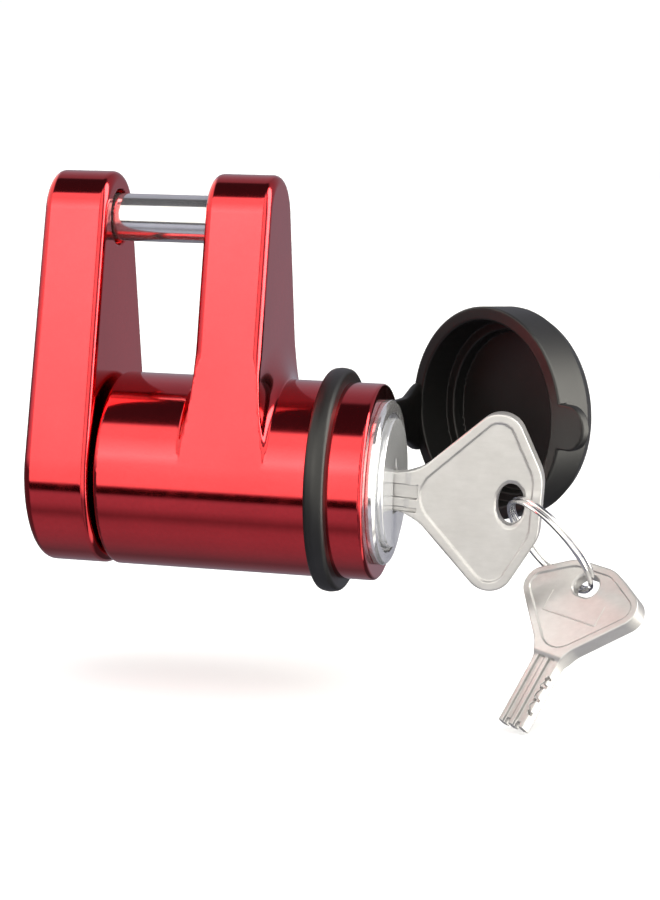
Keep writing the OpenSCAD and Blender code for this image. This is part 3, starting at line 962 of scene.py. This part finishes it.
# Brightness to the right, as (degrees from the front, level): the front softbox's
# end, a gap, a second softbox, a gap, a wall, and a bright softbox at the side.
RIGHT_SIDE = [(-180, 0.3), (-1, 2.0), (8, 2.0), (9.5, 0.08), (13.5, 0.08), (15, 1.8), (49, 1.8),
              (51, 0.08), (55, 0.08), (57, 0.5), (70, 0.6), (75, 6.5), (110, 6.5), (116, 0.4),
              (150, 0.34), (180, 0.3)]


def brightness(n, turn, levels):
    """Brightness by angle, through a curve with straight sides."""
    curve = n.add("ShaderNodeFloatCurve")
    line = curve.mapping.curves[0]
    top = max(v for _, v in levels)
    for k, (degrees, value) in enumerate(levels):
        spot = (degrees / 360 + 0.5, value / top)
        if k == 0:
            line.points[0].location = spot
        elif k == len(levels) - 1:
            line.points[-1].location = spot
        else:
            line.points.new(*spot)
    for point in line.points:
        point.handle_type = "VECTOR"
    curve.mapping.update()
    n.link(turn, curve.inputs["Value"])
    return n.math("MULTIPLY", curve.outputs[0], top)


def blended(n, share, a, b):
    return n.math("ADD", n.math("MULTIPLY", a, n.math("SUBTRACT", 1.0, share)),
                  n.math("MULTIPLY", b, share))


def studio():
    world = bpy.data.worlds.new("studio")
    scene.world = world
    n = Nodes(world)
    out = n.add("ShaderNodeOutputWorld")
    where = n.add("ShaderNodeTexCoord")
    split = n.add("ShaderNodeSeparateXYZ")
    n.link(where.outputs["Generated"], split.inputs[0])
    x, y, z = split.outputs
    angle = n.math("ARCTAN2", z, n.math("MULTIPLY", y, -1.0))
    turn = n.math("ADD", n.math("DIVIDE", angle, math.tau), 0.5)
    bright = brightness(n, turn, STUDIO)
    heading = n.math("ARCTAN2", x, n.math("MULTIPLY", y, -1.0))
    around = n.math("ADD", n.math("DIVIDE", heading, math.tau), 0.5)
    level = n.math("MULTIPLY", n.span(n.math("ABSOLUTE", z, 0.0), 1, 0, 0.90, 0.98),
                   n.span(x, 0, 1, 0.01, 0.06))
    right_side = n.math("MULTIPLY", brightness(n, around, RIGHT_SIDE),
                        n.span(z, 0.2, 1, -0.5, -0.28))
    bright = blended(n, level, bright, right_side)
    left = n.span(x, 0, 1, -0.42, -0.58)
    bright = blended(n, left, bright, n.span(z, 0.12, 1.35, 0.0, 0.25))
    path = n.add("ShaderNodeLightPath")
    soft = n.math("MULTIPLY", path.outputs["Is Diffuse Ray"], 0.72)
    seen = n.math("MULTIPLY", path.outputs["Is Camera Ray"], 1.02)
    plain = n.math("ADD", path.outputs["Is Diffuse Ray"], path.outputs["Is Camera Ray"])
    glossy = n.math("MULTIPLY", bright, n.math("SUBTRACT", 1.0, plain))
    strength = n.math("ADD", n.math("ADD", soft, seen), glossy)
    light = n.add("ShaderNodeBackground")
    tint = n.mix(n.span(bright, 0, 1, 1.3, 0.7), (1.0, 0.97, 0.88), (0.95, 0.95, 1.1))
    n.link(n.mix(plain, tint, (1.0, 1.0, 1.0)), light.inputs["Color"])
    n.link(strength, light.inputs["Strength"])
    n.link(light.outputs[0], out.inputs[0])


def softbox(name, at, size, power):
    data = bpy.data.lights.new(name, "AREA")
    data.shape = "RECTANGLE"
    data.size, data.size_y = size
    data.energy = power
    obj = bpy.data.objects.new(name, data)
    obj.location = at
    centre = Vector((0.015, 0, -0.025))
    obj.rotation_mode = "QUATERNION"
    obj.rotation_quaternion = (Vector(at) - centre).to_track_quat("Z", "Y")
    obj.visible_glossy = False
    obj.visible_camera = False
    scene.collection.objects.link(obj)


studio()
softbox("top_softbox", (0.10, -0.15, 0.50), (0.6, 0.6), 1.3)
softbox("front_softbox", (-0.25, -0.55, 0.15), (0.5, 0.5), 0.8)
scene.view_settings.view_transform = "Standard"
scene.view_settings.look = "None"
